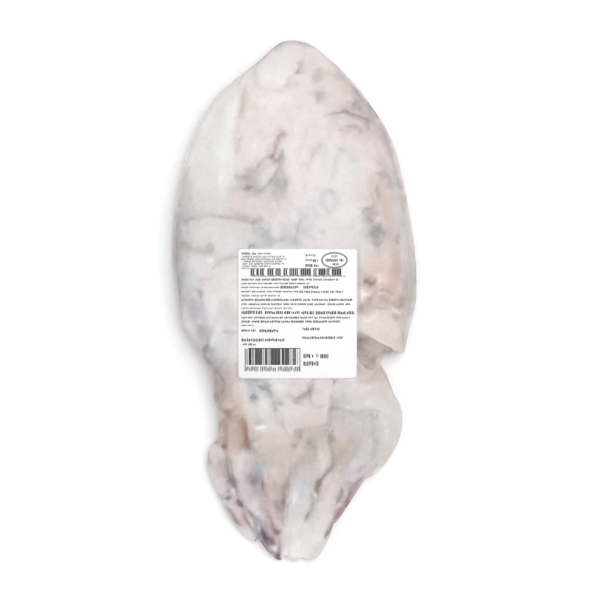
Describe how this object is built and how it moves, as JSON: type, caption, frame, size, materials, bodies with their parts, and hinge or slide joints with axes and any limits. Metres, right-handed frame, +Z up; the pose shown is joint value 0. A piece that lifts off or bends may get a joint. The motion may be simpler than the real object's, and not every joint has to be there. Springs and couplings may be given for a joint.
{
  "type": "whole raw cuttlefish",
  "caption": "Whole raw cuttlefish lying belly up: oval mantle with thin side fins, open collar, head, and short arms held together, with a plain adhesive label on the mantle.",
  "frame": {"origin": "on the surface that the cuttlefish lies on, below the middle of its outline", "axes": "+Y towards the tail end of the mantle, -Y towards the arms, +X to the right seen from above, +Z up"},
  "size_m": [0.1646, 0.3501, 0.0362],
  "materials": {
    "flesh": "wet, glossy and slightly translucent raw flesh under clinging clear film",
    "label": "smooth white coated paper with grey and black print bars"
  },
  "bodies": {
    "root": {"cuttlefish": "flesh", "label": "label"}
  },
  "joints": []
}
